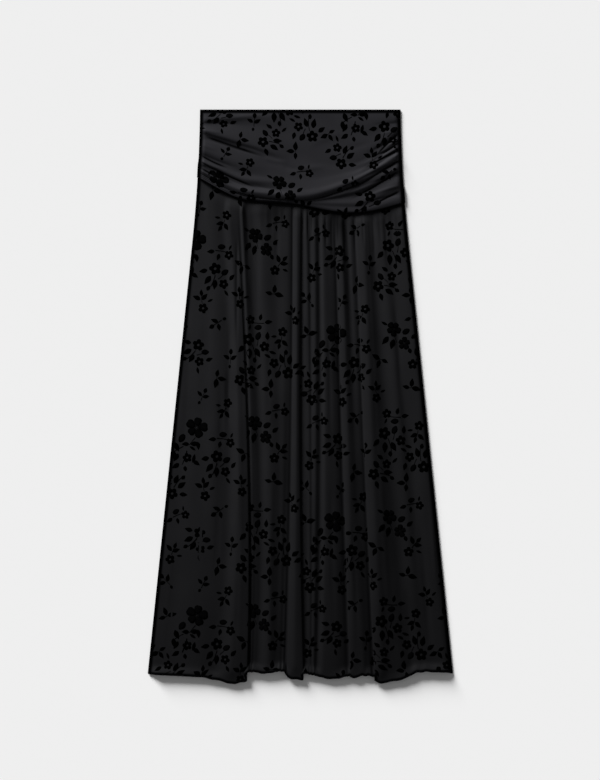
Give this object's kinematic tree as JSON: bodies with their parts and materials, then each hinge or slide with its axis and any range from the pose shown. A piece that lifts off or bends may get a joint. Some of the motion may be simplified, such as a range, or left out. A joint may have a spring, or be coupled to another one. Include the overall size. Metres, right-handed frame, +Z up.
{
  "type": "a-line midi skirt",
  "caption": "Pull-on A-line midi skirt laid flat, with a wide draped waist band, a gathered front in long soft folds and a narrow rolled hem.",
  "frame": {"origin": "middle of the skirt's outline, on the table it lies on", "axes": "+X across the skirt to the picture's right, +Y up to the waist, +Z up off the table through the skirt's front"},
  "size_m": [0.4873, 0.9163, 0.0126],
  "materials": {
    "skirt_cloth": "smooth matt stretch cloth, near black",
    "band_cloth": "the same cloth, doubled and draped",
    "flock": "raised black velvet flock in small flowers and leaves",
    "thread": "black overlock thread"
  },
  "bodies": {
    "root": {"skirt_front": "skirt_cloth", "skirt_back": "skirt_cloth", "band_front": "band_cloth", "band_back": "band_cloth"}
  },
  "joints": []
}
